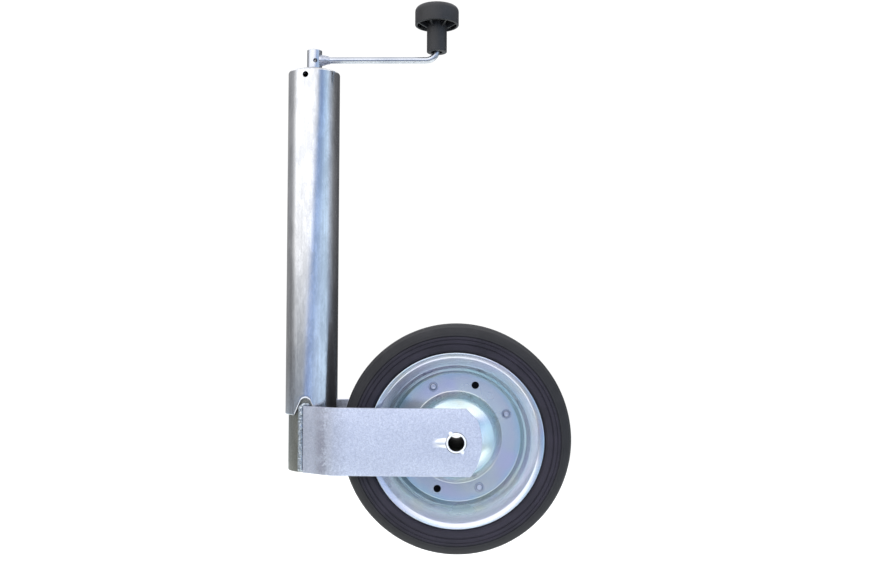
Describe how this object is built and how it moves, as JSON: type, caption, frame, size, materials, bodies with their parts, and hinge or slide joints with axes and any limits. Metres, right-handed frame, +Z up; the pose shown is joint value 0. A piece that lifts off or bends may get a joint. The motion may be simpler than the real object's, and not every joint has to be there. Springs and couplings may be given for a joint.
{
  "type": "trailer tongue jack",
  "caption": "Tubular trailer tongue jack: a hand crank winds a steel inner tube with a forked, rubber-tyred jockey wheel up and down inside the clamp tube.",
  "frame": {"origin": "on the clamp tube's axis, halfway up the tube", "axes": "+Z up along the clamp tube towards the crank, +X from the tube towards the wheel, Y along the wheel's axle with -Y the front"},
  "size_m": [0.264, 0.08, 0.5078],
  "materials": {
    "zinc_tube": "bright zinc plate with fine drawn grain",
    "zinc_small_parts": "bright zinc plate",
    "bearing_steel": "polished hardened steel",
    "cage_brass": "plain stamped brass",
    "dark_pin_steel": "dark oiled spring steel",
    "zinc_weld": "lumpy weld bead, zinc plated",
    "black_plastic": "moulded black plastic, satin",
    "galvanised_inner_tube": "greenish-grey galvanised",
    "galvanised_arm": "mottled galvanised flat bar, lilac-grey",
    "nylon_bush": "natural nylon",
    "blue_zinc_disc": "bright zinc plate with blue and green sheen",
    "tyre_rubber": "matt black solid rubber"
  },
  "bodies": {
    "clamp_tube_body": {"outer_tube": "zinc_tube", "bearing_cap": "zinc_small_parts", "thrust_washer_top": "bearing_steel", "boss_washer": "zinc_small_parts"},
    "crank_body": {"spindle": "zinc_small_parts", "thrust_washer_bottom": "bearing_steel", "thrust_balls": "bearing_steel", "ball_cage": "cage_brass", "stop_washer": "zinc_small_parts", "stop_pin": "bearing_steel", "crank_boss": "zinc_small_parts", "boss_cross_pin": "dark_pin_steel", "crank_rod": "zinc_small_parts", "crank_weld": "zinc_weld"},
    "knob_body": {"crank_knob": "black_plastic"},
    "fork_body": {"inner_tube": "galvanised_inner_tube", "spindle_nut": "zinc_small_parts", "fork_arm_front": "galvanised_arm", "fork_arm_rear": "galvanised_arm", "fork_weld_front": "zinc_weld", "fork_weld_rear": "zinc_weld", "wheel_axle": "zinc_small_parts", "axle_washers": "zinc_small_parts"},
    "wheel_body": {"hub_tube": "zinc_small_parts", "hub_bush_front": "nylon_bush", "hub_bush_rear": "nylon_bush", "rim_disc_front": "blue_zinc_disc", "rim_disc_rear": "blue_zinc_disc", "disc_rivets": "blue_zinc_disc", "tyre": "tyre_rubber"}
  },
  "joints": [
    {"name": "crank_turn", "type": "hinge", "parent": "clamp_tube_body", "child": "crank_body", "pos_m": [0, 0, 0.1715], "axis": [0, 0, 1], "range_deg": [0, 18000]},
    {"name": "inner_slide", "type": "slide", "parent": "clamp_tube_body", "child": "fork_body", "axis": [0, 0, -1], "range_m": [0, 0.2]},
    {"name": "knob_spin", "type": "hinge", "parent": "crank_body", "child": "knob_body", "pos_m": [0.115, 0, 0.2], "axis": [0, 0, 1], "continuous": true},
    {"name": "wheel_spin", "type": "hinge", "parent": "fork_body", "child": "wheel_body", "pos_m": [0.135, 0, -0.18], "axis": [0, 1, 0], "continuous": true}
  ],
  "couplings": [
    {"joint": "inner_slide", "follows": "crank_turn", "m_per_rad": 0.00063662}
  ]
}
